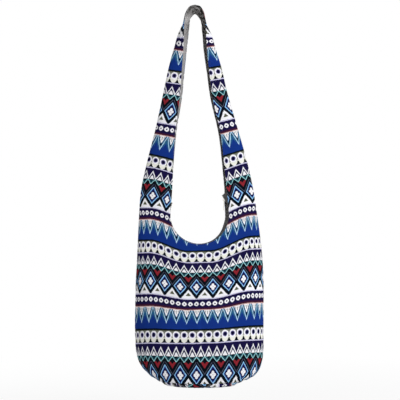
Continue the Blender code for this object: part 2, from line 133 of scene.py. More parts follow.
def spline(places, rows, at):
    """A smooth curve through rows of numbers set at rising places, read at other places."""
    places, rows, at = np.asarray(places), np.asarray(rows, float), np.asarray(at)
    slopes = np.gradient(rows, places, axis=0)
    span = np.clip(np.searchsorted(places, at, side="right") - 1, 0, len(places) - 2)
    width = (places[span + 1] - places[span])[:, None]
    t = np.clip((at - places[span])[:, None] / width, 0, 1)
    start = (1 + 2 * t) * (1 - t) ** 2 * rows[span] + t * (1 - t) ** 2 * width * slopes[span]
    end = t * t * (3 - 2 * t) * rows[span + 1] + t * t * (t - 1) * width * slopes[span + 1]
    return start + end


def side_rows(arm, side, way):
    """All rows of one side from the hook to the middle of the base, in one table."""
    half_base = 0.5 * (BASE_RIGHT - BASE_LEFT)
    middle = 0.5 * (BASE_RIGHT + BASE_LEFT)
    turns = [0.5 * math.pi * step / BASE_ROWS for step in range(1, BASE_ROWS + 1)]
    base = [(middle + way * half_base * max(0, math.cos(t)) ** (2 / SECTION_FULLNESS), BASE_Z) for t in turns]
    ends = list(side) + base
    runs = [math.dist(a, b) for a, b in zip(ends, ends[1:])]
    rows = list(arm)
    for index, (x, z) in enumerate(ends):
        turn = 0.5 * math.pi * sum(runs[:index]) / sum(runs)
        edge_x = MOUTH_X + way * MOUTH_RADIUS * math.cos(turn)
        edge_z = MOUTH_Z - MOUTH_RADIUS * math.sin(turn)
        rows.append((x, z, edge_x, edge_z, MOUTH_LIP))
    return np.array(rows)


def side_curves(arm, side, way):
    """The rows of one side, made smooth and closer together over the hook."""
    rows = side_rows(arm, side, way)
    steps = np.hypot(*np.diff(rows[:, :2], axis=0).T)
    edge_steps = np.hypot(*np.diff(rows[:, 2:4], axis=0).T)
    places = np.concatenate(([0], np.cumsum(0.5 * (steps + edge_steps))))
    at = places[-1] * np.linspace(0, 1, RIBS_DOWN + 1) ** 1.15
    return spline(places, rows, at)


LEFT = side_curves(LEFT_ARM, LEFT_SIDE, -1)
RIGHT = side_curves(RIGHT_ARM, RIGHT_SIDE, 1)


def seams_at(height):
    """Where the side seams are at a height: left and right."""
    left = np.interp(-height, -LEFT[:, 1], LEFT[:, 0])
    right = np.interp(-height, -RIGHT[:, 1], RIGHT[:, 0])
    return left, right


def middle_at(height):
    """The middle and half width between the side seams at a height."""
    left, right = seams_at(height)
    return 0.5 * (left + right), np.maximum(0.5 * (right - left), 1e-6)


def depth_at(height, depths):
    places = [place for place, _ in depths]
    sizes = [[size] for _, size in depths]
    return spline(places, sizes, np.clip(height, places[0], places[-1]).ravel()).reshape(height.shape)


def section(share):
    return np.maximum(0, 1 - np.minimum(1, np.abs(share)) ** SECTION_FULLNESS) ** (1 / SECTION_FULLNESS)


def face_surface(way, depths, back_reach):
    """The ring of ribs of one face, from the open edge (first) to the seam (last), with its length
    down the strap. The ring starts over the hook and runs down the right and up the left."""
    rows = np.concatenate((RIGHT, LEFT[-2:0:-1]))
    is_left = np.arange(len(rows)) > RIBS_DOWN
    seam, edge, lip = rows[:, 0:2], rows[:, 2:4].copy(), rows[:, 4]
    if back_reach:
        places, on_left, on_right = np.array(back_reach).T
        height = edge[:, 1]
        reach = np.where(is_left, np.interp(height, places, on_left), -np.interp(height, places, on_right))
        edge[:, 0] += reach * ease(0.02, -0.02, height)
    u = np.linspace(1, 0, POINTS_ACROSS + 1)[None, :]
    body = ease(-0.40, MOUTH_Z, seam[:, 1])[:, None]
    share = u ** (2 - 0.55 * body)
    x = seam[:, :1] + (edge[:, :1] - seam[:, :1]) * share
    z = seam[:, 1:] + (edge[:, 1:] - seam[:, 1:]) * share
    deep = lip[:, None]
    chord = np.hypot(*(edge - seam).T)[:, None]
    bend = deep / (1 + deep / np.hypot(chord, deep))
    folded = 2 * u * (1 - u) * bend + u * u * deep
    middle, half = middle_at(z)
    filled = depth_at(z, depths) * section((x - middle) / half)
    depth = folded + (filled - folded) * body
    on_base = seam[:, 1] < BASE_Z + 1e-5
    depth[~on_base, -1] = 0
    points = np.stack((x, way * np.maximum(depth, 0.00015), z), axis=2)
    run = np.hypot(*np.diff(np.concatenate((seam, seam[:1])), axis=0).T)
    length = np.concatenate(([0], np.cumsum(run[:-1])))
    length = np.where(is_left, length[-1] + run[-1] - length, length)
    return points, length, is_left, share


def outward(points, way):
    """Unit normals of a ring of ribs, kept level along the base seam and flat along the side seams."""
    along = np.roll(points, -1, axis=0) - np.roll(points, 1, axis=0)
    normals = np.cross(along, np.gradient(points, axis=1))
    normals /= np.maximum(np.linalg.norm(normals, axis=2, keepdims=True), 1e-12)
    if normals[RIBS_DOWN, 0, 1] * way < 0:
        normals = -normals
    flat = normals[:, -1].copy()
    flat[np.abs(points[:, -1, 1]) < 0.001, 1] = 0
    flat[points[:, -1, 2] < BASE_Z + 1e-5, 2] = 0
    flat /= np.maximum(np.linalg.norm(flat, axis=1, keepdims=True), 1e-9)
    lean = np.sum(flat * normals[:, -1], axis=1, keepdims=True)
    normals[:, -1] = flat / np.maximum(lean, 0.6)
    return normals


# Folds of the hanging cloth: height of each, how fast it fades, and its wave
GATHER, GATHER_RUN, GATHER_WAVE = 0.0028, 0.055, 0.009
PUCKER, PUCKER_RUN, PUCKER_WAVE = 0.0007, 0.014, 0.021
BASE_PUCKER, BASE_PUCKER_WAVE = 0.0014, 0.019
DRAPE, DRAPE_WAVE = 0.0012, 0.085


def folded(points, normals, length, way):
    """The surface with its folds: gathers under the hook, puckers along the seams and soft folds
    under the mouth. The seams stay where they are."""
    x, z = points[..., 0], points[..., 2]
    steps = np.linalg.norm(np.diff(points[:, ::-1], axis=1), axis=2)
    from_seam = np.concatenate((np.zeros((len(points), 1)), np.cumsum(steps, axis=1)), axis=1)[:, ::-1]
    down = length[:, None]
    seam_z = points[:, -1:, 2]
    free = from_seam / (from_seam + 0.004)
    lip = ease(0.0, 0.006, from_seam[:, :1] - from_seam + 0.002)
    gather = np.sin(math.tau * from_seam / GATHER_WAVE + 9 * down / GATHER_RUN * 0.3 + way)
    lift = GATHER * np.exp(-((down / GATHER_RUN) ** 2)) * gather
    near_seam = np.exp(-from_seam / PUCKER_RUN)
    pucker = np.sin(math.tau * down / PUCKER_WAVE + 2.1 * np.sin(31 * down) + way)
    lift += PUCKER * near_seam * pucker * ease(-0.10, -0.20, seam_z)
    base_pucker = np.sin(math.tau * x / BASE_PUCKER_WAVE + 1.7 * np.sin(43 * x) + 2 * way)
    lift += BASE_PUCKER * np.exp(-(z - BASE_Z) / PUCKER_RUN) * base_pucker
    drape = np.sin(math.tau * (x + 0.35 * z * np.sign(x - MOUTH_X)) / DRAPE_WAVE + way)
    lift += DRAPE * drape * ease(-0.57, -0.66, z) * ease(BASE_Z, -0.83, z)
    return points + normals * (lift * free * lip)[..., None]


# How the cuts lie on the printed cloth, in metres. Across, they are measured round the bag from the
# middle of the front. Down, they follow the print's bands, which hang level at the sides, sag under
# the mouth and run nearly square to the arms of the strap.
REPEAT, STRAP_REPEAT, BASE_REPEAT = 0.22, 0.229, 0.235
BAND_X, BAND_REACH, BAND_FLAT = 0.0125, 0.130, 0.025
# Height of a ring band's middle at the side seams, and the repeat that it belongs to
LEFT_BANDS = (
    (-0.900, 3.785),
    (-0.805, 3.376),
    (-0.715, 3.0),
    (-0.499, 2.0),
    (-0.290, 1.0),
    (-0.0765, 0.0),
)
RIGHT_BANDS = (
    (-0.8925, 3.785),
    (-0.795, 3.376),
    (-0.705, 3.0),
    (-0.488, 2.0),
    (-0.2805, 1.0),
    (-0.0667, 0.0),
)
# How far the bands sag in the middle, by height
BAND_SAG = (
    (-0.9025, 0.006),
    (-0.855, 0.0066),
    (-0.832, 0.0035),
    (-0.795, 0.0045),
    (-0.772, 0.0070),
    (-0.735, 0.0140),
    (-0.7235, 0.0175),
    (-0.711, 0.0172),
    (-0.684, 0.0192),
    (-0.645, 0.0265),
    (-0.6225, 0.0293),
    (-0.5925, 0.0325),
    (-0.530, 0.035),
    (-0.4575, 0.027),
)
# How far the bands lean across each arm, by height: left and right
ARM_TILTS = ((-0.40, 0.21, 0.32), (-0.28, 0.18, 0.27), (-0.13, 0.13, 0.16))
# Where the middle of each arm lies on the cloth: height, left and right
ARM_MIDDLES = (
    (-0.55, -0.1080, 0.1270),
    (-0.452, -0.1140, 0.1319),
    (-0.24, -0.1278, 0.1423),
    (-0.10, -0.136, 0.149),
)
ARM_WRAP = 0.2  # how much more cloth an arm shows towards its sides
CLOTH_SHIFT = 0.00375
ABOVE_BASE = 0.004
VIEW_X, VIEW_Z, VIEW_DISTANCE = 0.0125, -0.465, 2.6


def band_place(height, bands):
    heights = [height for height, _ in bands]
    repeats = [repeat for _, repeat in bands]
    inside = np.interp(height, heights, repeats)
    above = (heights[-1] - height) / STRAP_REPEAT
    below = repeats[0] + (heights[0] - height) / BASE_REPEAT
    return np.where(height > heights[-1], above, np.where(height < heights[0], below, inside))


def cloth_coordinates(points, length, is_left, share):
    # The bands and columns were measured from the front, where what is nearer looks larger
    nearer = VIEW_DISTANCE / (VIEW_DISTANCE - np.abs(points[..., 1]))
    x = VIEW_X + (points[..., 0] - VIEW_X) * nearer
    z = VIEW_Z + (points[..., 2] - VIEW_Z) * nearer
    left = is_left[:, None]
    seam_z = points[:, -1:, 2]
    sag = np.interp(z, *np.array(BAND_SAG).T)
    lifted = z + sag * ease(BAND_REACH, BAND_FLAT, np.abs(x - BAND_X))
    left_seam, right_seam = seams_at(np.maximum(z, BASE_Z + ABOVE_BASE))
    along = (x - left_seam) / np.maximum(right_seam - left_seam, 1e-6)
    along += (np.where(left, 0.0, 1.0) - along) * ease(-0.50, -0.40, z)
    hang = band_place(lifted, LEFT_BANDS) * (1 - along) + band_place(lifted, RIGHT_BANDS) * along

    way = np.where(left, 1, -1)
    rib_middle = 0.5 * (points[:, :1, 0] + points[:, -1:, 0])
    heights, left_tilt, right_tilt = np.array(ARM_TILTS).T
    tilt = np.where(left, np.interp(z, heights, left_tilt), -np.interp(z, heights, right_tilt))
    tilted = z + tilt * (x - rib_middle)
    strap = np.where(left, band_place(tilted, LEFT_BANDS), band_place(tilted, RIGHT_BANDS))
    hook_band = -LEFT_BANDS[-1][0]
    down = np.interp(hook_band, -points[: RIBS_DOWN + 1, -1, 2], length[: RIBS_DOWN + 1])
    over_hook = (length[:, None] - down) / STRAP_REPEAT
    strap += (over_hook - strap) * ease(-0.09, -0.05, seam_z)
    v = (strap + (hang - strap) * ease(-0.28, -0.46, seam_z)) * REPEAT

    low = np.clip(z, BASE_Z + ABOVE_BASE, -0.47)
    middle, half = middle_at(low)
    spread = x - middle
    roundness = 0.7 + 0.3 * ease(-0.60, -0.45, z)
    round_x = np.zeros_like(x)
    steps = (np.arange(32) + 0.5) / 32
    for step in steps:
        here = np.clip(np.abs(spread) * step / half, 0, 0.995)
        round_x += np.sqrt(1 + roundness**2 * here**2 / (1 - here**2)) / len(steps)
    u_body = middle + spread * round_x - CLOTH_SHIFT
    heights, left_middle, right_middle = np.array(ARM_MIDDLES).T
    arm_middle = np.where(left, np.interp(z, heights, left_middle), np.interp(z, heights, right_middle))
    chord = np.hypot(*(points[:, 0, ::2] - points[:, -1, ::2]).T)[:, None]
    aside = (2 * share - 1) * way
    u_arm = arm_middle + 0.5 * chord * (aside + ARM_WRAP * aside**3)
    u = u_arm + (u_body - u_arm) * ease(-0.45, -0.56, z)
    return u, v


def lofted(name, sections, closed, coordinates):
    """A solid through sections of equal point counts, closed in a ring or capped at both ends,
    with a pair of cloth coordinates for each point."""
    rows, count = sections.shape[:2]
    i, k = np.meshgrid(np.arange(rows if closed else rows - 1), np.arange(count), indexing="ij")
    ahead, side = (i + 1) % rows, (k + 1) % count
    faces = np.stack((i * count + k, i * count + side, ahead * count + side, ahead * count + k), axis=-1)
    faces = faces.reshape(-1, 4).tolist()
    if not closed:
        faces += [list(range(count))[::-1], list(range((rows - 1) * count, rows * count))]
    mesh = bpy.data.meshes.new(name)
    mesh.from_pydata(sections.reshape(-1, 3).tolist(), [], faces)
    layer = mesh.uv_layers.new(name="cloth")
    corners = np.empty(len(mesh.loops), dtype=np.int32)
    mesh.loops.foreach_get("vertex_index", corners)
    layer.data.foreach_set("uv", coordinates.reshape(-1, 2)[corners].astype(np.float32).ravel())
    return finished(name, mesh)


def finished(name, mesh):
    """A mesh made into an object, with its faces turned out and its edges shaded."""
    mesh.calc_loop_triangles()
    places = np.empty(len(mesh.vertices) * 3)
    mesh.vertices.foreach_get("co", places)
    corners = np.empty(len(mesh.loop_triangles) * 3, dtype=np.int32)
    mesh.loop_triangles.foreach_get("vertices", corners)
    a, b, c = places.reshape(-1, 3)[corners].reshape(-1, 3, 3).transpose(1, 0, 2)
    if np.einsum("ij,ij->", a, np.cross(b, c)) < 0:
        mesh.flip_normals()
    mesh.shade_smooth()
    mesh.set_sharp_from_angle(angle=math.radians(50))
    made = bpy.data.objects.new(name, mesh)
    bpy.context.scene.collection.objects.link(made)
    return made


def cloth_ring(name, points, normals, inner, outer, u, v):
    """A ring of cloth between two distances from the surface."""
    sections = np.concatenate((points + normals * inner, (points + normals * outer)[:, ::-1]), axis=1)
    both = [np.concatenate((part, part[:, ::-1]), axis=1) for part in (u, v)]
    return lofted(name, sections, True, np.stack(both, axis=-1))


class Number:
    """A shader value that ordinary arithmetic works on."""

    def __init__(self, socket):
        self.socket = socket
        self.tree = socket.id_data

    def math(self, operation, *others):
        return self.joined(operation, (self,) + others)

    def joined(self, operation, values):
        node = self.tree.nodes.new("ShaderNodeMath")
        node.operation = operation
        for slot, value in zip(node.inputs, values):
            if isinstance(value, Number):
                self.tree.links.new(value.socket, slot)
            else:
                slot.default_value = value
        return Number(node.outputs[0])

    def __add__(self, other):
        return self.math("ADD", other)

    def __sub__(self, other):
        return self.math("SUBTRACT", other)

    def __rsub__(self, other):
        return self.joined("SUBTRACT", (other, self))

    def __mul__(self, other):
        return self.math("MULTIPLY", other)

    def __neg__(self):
        return self.math("MULTIPLY", -1.0)

    def __abs__(self):
        return self.math("ABSOLUTE")

    __radd__ = __add__
    __rmul__ = __mul__

    def least(self, other):
        return self.math("MINIMUM", other)

    def most(self, other):
        return self.math("MAXIMUM", other)

    def root(self):
        return self.math("SQRT")

    def part(self):
        return self.math("FRACT")

    def wave(self):
        return self.math("SINE")

    def inside(self, softness=0.5):
        """1 where the value is above zero, with an edge this soft."""
        share = self * (1 / softness) + 0.5
        return share.most(0.0).least(1.0)


class Finish:
    """A material's node tree, with one method for any node."""

    def __init__(self, name, **fixed):
        self.material = bpy.data.materials.new(name)
        self.material.use_nodes = True
        self.tree = self.material.node_tree
        self.shader = self.tree.nodes["Principled BSDF"]
        for socket, value in fixed.items():
            self.shader.inputs[socket.replace("_", " ")].default_value = value

    def node(self, kind, settings=None, **sockets):
        made = self.tree.nodes.new("ShaderNode" + kind)
        for name, value in (settings or {}).items():
            setattr(made, name, value)
        for name, value in sockets.items():
            slot = made.inputs[int(name[1:]) if name[1:].isdigit() else name.replace("_", " ")]
            self.feed(slot, value)
        return made

    def feed(self, slot, value):
        if isinstance(value, Number):
            value = value.socket
        if isinstance(value, bpy.types.NodeSocket):
            self.tree.links.new(value, slot)
        else:
            slot.default_value = value

    def mix(self, share, low, high, blend="MIX"):
        """One colour over another by a share."""
        made = self.node("Mix", {"data_type": "RGBA", "blend_type": blend}, Factor=share)
        self.feed(made.inputs[6], low)
        self.feed(made.inputs[7], high)
        return made.outputs[2]

    def noise(self, where, scale, detail=2.0):
        made = self.node("TexNoise", {"noise_dimensions": "2D"}, Vector=where, Scale=scale, Detail=detail)
        return made.outputs

    def finish(self, **sockets):
        for name, value in sockets.items():
            self.feed(self.shader.inputs[name.replace("_", " ")], value)
        return self.material


# The print's inks, from dark to light
NIGHT = (0.002, 0.004, 0.015, 1)
NAVY = (0.0085, 0.006, 0.050, 1)
VIOLET = (0.040, 0.028, 0.150, 1)
ROYAL = (0.007, 0.034, 0.235, 1)
BLACK_GREEN = (0.0012, 0.004, 0.008, 1)
DEEP_TEAL = (0.010, 0.065, 0.095, 1)
INNER_TEAL = (0.022, 0.095, 0.210, 1)
TEAL = (0.045, 0.210, 0.270, 1)
BRICK = (0.270, 0.020, 0.030, 1)
WINE = (0.052, 0.009, 0.028, 1)
PEACH = (0.66, 0.40, 0.38, 1)
OLIVE = (0.10, 0.11, 0.07, 1)
STONE = (0.20, 0.21, 0.18, 1)
SLATE = (0.11, 0.12, 0.18, 1)
SKY = (0.30, 0.60, 0.94, 1)
PALE_TEAL = (0.33, 0.68, 0.72, 1)
PALE_SKY = (0.50, 0.76, 0.95, 1)
LAVENDER = (0.60, 0.58, 0.80, 1)
CREAM = (0.88, 0.88, 0.80, 1)
WHITE = (0.93, 0.93, 0.97, 1)
THREAD = 0.00055


def weave(look, where, depth):
    """The bump and brightness of plain-woven threads along and across the cloth."""
    split = look.node("SeparateXYZ", _0=where)
    warp = (Number(split.outputs[0]) * (math.tau / THREAD)).wave()
    weft = (Number(split.outputs[1]) * (math.tau / THREAD)).wave()
    threads = warp * weft * 0.5 + 0.5
    bump = look.node("Bump", _0=depth, Distance=0.0003, Height=threads)
    return bump.outputs[0], threads


def printed_canvas(name, turn, spare):
    """The print and weave of the canvas, read from a piece's cloth coordinates. Figures are worked
    out in millimetres: x is the distance from the middle of a figure, y goes down its band."""
    look = Finish(name, Roughness=0.86, Specular_IOR_Level=0.04)
    where = look.node("UVMap", {"uv_map": "cloth"}).outputs[0]
    split = look.node("SeparateXYZ", _0=where)
    across, down = Number(split.outputs[0]) * 1000 + spare, Number(split.outputs[1]) * 1000
    # The hand-cut look of the figures: their outlines wander by a fraction of a millimetre
    drift = look.node("SeparateColor", _0=look.noise(where, 190.0, 1.0)["Color"])
    across = across + (Number(drift.outputs[0]) - 0.5) * 1.6
    down = down + (Number(drift.outputs[1]) - 0.5) * 1.6
    height = 1000 * REPEAT
    place = (down * (1 / height) + 0.0625 + turn).part() * height

    def figure(period, shift=0.0):
        return abs((across * (1 / period) + 0.5 + shift).part() - 0.5) * period

    def over(low, share, high):
        return look.mix(share, low, high)

    def line(value, width):
        return value.inside() * (width - value).inside()

    rings_end, pennants_start, pennants_end = 27.5, 30.1, 79.9
    beads_start, beads_end, zigzag_start, zigzag_end = 83.8, 112.6, 115.3, 142.8
    diamonds_start, diamonds_end = 155.8, 217.3

    # Ring band: white rings on navy, over a wine-red line and a thin peach one
    x, y = figure(15.3), abs(place - 12.0)
    far = (x * x + y * y).root() * 0.72 + (x + y) * 0.25
    rings = over(NAVY, line(far - 2.1, 3.9), WHITE)
    rings = over(rings, (place - 23.5).inside(2.0), WINE)

    # Pennant band: points hang from the top edge, framed in light blue, on royal blue
    x, y = figure(26.0, -0.05), place - pennants_start
    point = (37.3 - 2.74 * x - y) * 0.343
    peak = (x - 8.6).inside(1.5) * (17 - y).inside(6)
    pennants = over(ROYAL, (26 - y).inside(14) * (4.5 + point).inside(3) * 0.55, TEAL)
    pennants = over(pennants, peak * (9 - y).inside(8) * 0.8, NIGHT)
    pennants = over(pennants, point.inside(), PALE_SKY)
    pennants = over(pennants, (point - 1.7).inside(), INNER_TEAL)
    inner = (20 - 2.35 * x - y) * 0.39
    pennants = over(pennants, inner.inside(), WHITE)
    strokes = (1.1 - x).inside() * line(y - 2, 9) + (1.0 - abs(x - 4.6)).inside() * line(y - 1.5, 5)
    pennants = over(pennants, strokes * 0.75, OLIVE)
    pennants = over(pennants, (2.4 - x - abs(y - 21.5) * 0.6).inside(), BLACK_GREEN)

    # Bead band: white discs with violet middles, each over a cream lobe
    x, y = figure(20.5, 0.5), place - beads_start
    beads = over(STONE, (1.6 - y).inside(2), OLIVE)
    lobe = (x * x + (y - 20.5) * (y - 20.5) * 0.8).root()
    beads = over(beads, (y - 17.0).inside(3), CREAM)
    beads = over(beads, (y - 18.5 - (10.25 - x) * 1.35).inside(), BLACK_GREEN)
    beads = over(beads, (7.6 - lobe).inside(), CREAM)
    far = (x * x + (y - 10.8) * (y - 10.8)).root()
    beads = over(beads, (9.6 - far).inside(), WHITE)
    beads = over(beads, (6.2 - far).inside(), LAVENDER)
    beads = over(beads, (5.4 - far).inside(), VIOLET)
    beads = over(beads, (3.4 - far).inside(1), NIGHT)

    # Zigzag band: a white zigzag on navy, with a small filled peak in each of its points
    x, y = figure(20.5, 0.5), place - zigzag_start
    below = (y - 5.6 - 1.85 * x) * 0.475
    zigzag = over(NAVY, line(below, 2.4), WHITE)
    small = over(SLATE, (y - 18.5).inside(3), WHITE)
    zigzag = over(zigzag, (below - 4.9).inside(), small)

    # Teal row: light teal points under the zigzag, on black green
    x, y = figure(20.5, 0.5), place - zigzag_end
    point = (13.0 - 1.27 * x - y) * 0.618
    teals = over(BLACK_GREEN, (point - 0.8).inside(), DEEP_TEAL)
    teals = over(teals, (point - 4.4).inside(2), BLACK_GREEN)
    teals = over(teals, (0.9 - abs(point)).inside(), PALE_TEAL)

    # Diamond band: diamonds with a flower in the middle, brick points above and white peaks below
    x, y = figure(41.0), place - diamonds_start - 30.5
    far = x * (1 / 16.4) + y.most(-y * 0.89) * (1 / 21.8)
    from_edge = (far - 1.0) * 13.4
    top = (-y).inside(1)
    above = over(BLACK_GREEN, line(from_edge - 3.9, 1.1), SLATE)
    notch = (26.0 + y + (20.5 - x)).inside()
    above = over(above, (from_edge - 11.4).inside(), BRICK)
    above = over(above, 1 - notch, BLACK_GREEN)
    under = over(BLACK_GREEN, (from_edge - 7.4).inside(), WHITE)
    under = over(under, (from_edge - 12.6).inside() * (24.0 - y).inside(), OLIVE)
    diamonds = over(under, top, above)
    diamonds = over(diamonds, (3.5 - from_edge).inside(), NIGHT)
    diamonds = over(diamonds, (-from_edge).inside(), SKY)
    diamonds = over(diamonds, (-2.1 - from_edge).inside(), ROYAL)
    diamonds = over(diamonds, (-3.8 - from_edge).inside(1), NAVY)
    aside = (x - 4.0) * (x - 4.0) + y * y
    upright = (abs(y) - 5.2) * (abs(y) - 5.2) * 0.7 + x * x
    diamonds = over(diamonds, (3.6 - aside.least(upright).root()).inside(), WHITE)
    diamonds = over(diamonds, (0.9 - (x * x + y * y).root()).inside() * 0.5, BRICK)

    colour = over(rings, (place - rings_end - 0.6).inside(), PEACH)
    colour = over(colour, (place - pennants_start).inside(), pennants)
    colour = over(colour, (place - pennants_end).inside(), BLACK_GREEN)
    colour = over(colour, (place - beads_start).inside(), beads)
    colour = over(colour, (place - beads_end).inside(), LAVENDER)
    colour = over(colour, (place - zigzag_start).inside(), zigzag)
    colour = over(colour, (place - zigzag_end).inside(), teals)
    colour = over(colour, (place - diamonds_start).inside(), diamonds)
    colour = over(colour, (place - diamonds_end).inside(), LAVENDER)

    normal, threads = weave(look, where, 0.35)
    wear_and_painted_shade = Number(look.noise(where, 900.0)[0])
    shade = (wear_and_painted_shade * 0.35 + 0.72) * (threads * 0.14 + 0.93)
    grey = look.node("CombineColor", _0=shade, _1=shade, _2=shade).outputs[0]
    colour = look.mix(1.0, colour, grey, "MULTIPLY")
    rough = wear_and_painted_shade * 0.16 + 0.76
    return look.finish(Base_Color=colour, Roughness=rough, Normal=normal)


print_material = printed_canvas("printed canvas", 0.0, 0.0)
faces = (("front", -1, FRONT_DEPTHS, ()), ("back", 1, BACK_DEPTHS, BACK_REACH))
surfaces = {}
for name, way, depths, reach in faces:
    points, length, is_left, share = face_surface(way, depths, reach)
    u, v = cloth_coordinates(points, length, is_left, share)
    points = folded(points, outward(points, way), length, way)
    surfaces[name] = (points, outward(points, way), u, v)
    inner = LINING_CLOTH + LAYER_GAP
    panel = cloth_ring(name + "_printed_panel", *surfaces[name][:2], inner, inner + CANVAS, u, v)
    panel.data.materials.append(print_material)
    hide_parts(name + "_panel")
    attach(panel, "bag")
    name + "_print"


# Linings of plain grey cotton, cut like the panels and sewn in behind them. They reach to the turned
# edge of the canvas, so that they show as a grey strip wherever the inside of the strap is seen.
def plain_cotton(name, colour):
    look = Finish(name, Roughness=0.92, Specular_IOR_Level=0.1)
    where = look.node("UVMap", {"uv_map": "cloth"}).outputs[0]
    fleck = Number(look.noise(where, 1300.0)[0])
    dark = tuple(0.50 * channel for channel in colour) + (1,)
    light = tuple(1.45 * channel for channel in colour) + (1,)
    shade = look.mix((fleck - 0.25) * 2.0, dark, light)
    # Painted shade: the lining darkened towards near black on the right arm above the mouth and over the
    # hook, broken up by noise
    place = look.node("SeparateXYZ", _0=look.node("TexCoord").outputs["Object"])
    side, up = Number(place.outputs[0]), Number(place.outputs[2])
    blotch = Number(look.noise(where, 210.0)[0])
    painted_shade_right = (side * 60 + 0.62).most(0.0).least(1.0) * ((up + 0.60) * 8).most(0.0).least(1.0)
    painted_shade_top = ((up + 0.012) * 60).most(0.0).least(0.85)
    wear_and_painted_shade = painted_shade_right.most(painted_shade_top) * ((blotch - 0.36) * 5).most(0.5).least(1.0)
    # Painted shade: the lining's colour pulled towards near black where this mask is high
    shade = look.mix(wear_and_painted_shade, shade, (0.016, 0.014, 0.011, 1))
    normal, threads = weave(look, where, 0.3)
    return look.finish(Base_Color=look.mix(threads * 0.12, shade, dark), Normal=normal)


def row_at(points, normals, u, v, distance):
    """A row of points this far in from the open edge, with their normals and coordinates."""
    reach = np.cumsum(np.linalg.norm(np.diff(points, axis=1), axis=2), axis=1)
    reach = np.concatenate((np.zeros((len(points), 1)), reach), axis=1)
    span = np.argmax(reach > distance, axis=1)
    ribs = np.arange(len(points))
    part = (distance - reach[ribs, span - 1]) / (reach[ribs, span] - reach[ribs, span - 1])
    rows = []
    for grid in (points, normals, u, v):
        share = part if grid.ndim == 2 else part[:, None]
        rows.append(grid[ribs, span - 1] + (grid[ribs, span] - grid[ribs, span - 1]) * share)
    return rows


LINING_SETBACK = 0.001
lining_material = plain_cotton("grey lining cotton", (0.40, 0.39, 0.39))
for name, (points, normals, u, v) in surfaces.items():
    first = row_at(points, normals, u, v, LINING_SETBACK)
    grids = [np.concatenate((row[:, None], grid[:, 1:]), axis=1) for row, grid in zip(first, surfaces[name])]
    lining = cloth_ring(name + "_cotton_lining", grids[0], grids[1], 0, LINING_CLOTH, grids[2], grids[3])
    lining.data.materials.append(lining_material)
    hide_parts(name + "_lining")
    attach(lining, "bag")
    name + "_lining_cotton"


# Base, an oval of the same canvas and its lining, sewn to the lower edges of the panels. It is cut
# without regard to the print, and bulges a little below the seam.
BASE_RINGS, BASE_DROP, BASE_ROUNDNESS = 14, 0.0135, 2.6
BASE_OVERLAP = 0.0019


def base_outline():
    """The lower seam as a ring: the front's from right to left, then the back's."""
    rows = []
    for name, order in (("front", 1), ("back", -1)):
        points = surfaces[name][0][:, -1]
        rows.append(points[points[:, 2] < BASE_Z + 1e-5][::order])
    ring = np.concatenate(rows)[:, :2]
    steps = np.hypot(*np.diff(np.concatenate((ring, ring[:1])), axis=0).T)
    places = np.concatenate(([0], np.cumsum(steps)))
    at = np.linspace(0, places[-1], 180, endpoint=False)
    closed = np.concatenate((ring, ring[:1]))
    return np.stack([np.interp(at, places, closed[:, axis]) for axis in (0, 1)], axis=1)


def base_sheet(name, top, thickness, spread, pucker):
    """One layer of the base: rings from the seam to the middle on both skins."""
    outline = base_outline()
    middle = 0.5 * (outline.max(0) + outline.min(0))
    arms = outline - middle
    size = np.hypot(*arms.T)[:, None]
    turn = np.arctan2(arms[:, 1], arms[:, 0])
    bm = bmesh.new()
    layer = bm.loops.layers.uv.new("cloth")
    skins = []
    for height in (top, top - thickness):
        rings = []
        for step in range(BASE_RINGS):
            share = math.cos(0.5 * math.pi * step / BASE_RINGS)
            place = middle + arms * (1 + spread / size) * share
            drop = BASE_DROP * (1 - share**BASE_ROUNDNESS) ** (1 / BASE_ROUNDNESS)
            fade = math.exp(-(1 - share) * 9) * (1 - share) * 9
            wave = pucker * np.sin(26 * turn + np.sin(5 * turn)) * fade
            rings.append([bm.verts.new((x, y, height - drop + w)) for (x, y), w in zip(place, wave)])
        skins.append((rings, bm.verts.new((*middle, height - BASE_DROP))))
    count = len(outline)
    for rings, pole in skins:
        for outer, inner in zip(rings, rings[1:]):
            for k in range(count):
                ahead = (k + 1) % count
                bm.faces.new((outer[k], outer[ahead], inner[ahead], inner[k]))
        for k in range(count):
            bm.faces.new((rings[-1][k], rings[-1][(k + 1) % count], pole))
    upper, lower = skins[0][0][0], skins[1][0][0]
    for k in range(count):
        ahead = (k + 1) % count
        bm.faces.new((upper[k], upper[ahead], lower[ahead], lower[k]))
    bmesh.ops.recalc_face_normals(bm, faces=bm.faces)
    for face in bm.faces:
        for corner in face.loops:
            x, y, z = corner.vert.co
            corner[layer].uv = (y + (top - z), x)
    mesh = bpy.data.meshes.new(name)
    bm.to_mesh(mesh)
    bm.free()
    return finished(name, mesh)


base_material = printed_canvas("base printed canvas", 0.6625, 24.5)
base_layers = (
    ("base_panel", base_material, BASE_Z - LAYER_GAP, CANVAS, BASE_OVERLAP, 0.0016),
    ("base_lining", lining_material, BASE_Z + LINING_CLOTH, LINING_CLOTH, -0.0006, 0.0),
)
for node, look, top, thickness, spread, pucker in base_layers:
    sheet = base_sheet(node.replace("_", "_sewn_"), top, thickness, spread, pucker)
    sheet.data.materials.append(look)
    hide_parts(node)
    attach(sheet, "bag")
    "base_print" if node == "base_panel" else "base_lining_cotton"

# Zip tapes, woven strips sewn behind the turned edges of the mouth. Each runs from the lining to the
# cord that its row of teeth is moulded on.
ZIP_RADIUS, ZIP_START, ZIP_END = 0.075, math.radians(37), math.radians(-200)
ZIP_SPARE = math.radians(4)
TOOTH_DEPTH, TOOTH_HEIGHT, TOOTH_PITCH = 0.003, 0.0022, 0.005
JOINED_HALF_GAP, OPEN_HALF_GAP = 0.0015, 0.009
JOIN_END, OPEN_START = math.radians(27), math.radians(-25)
TAPE, TAPE_SETBACK, TAPE_ROWS, TAPE_ACROSS = 0.0006, 0.002, 180, 8


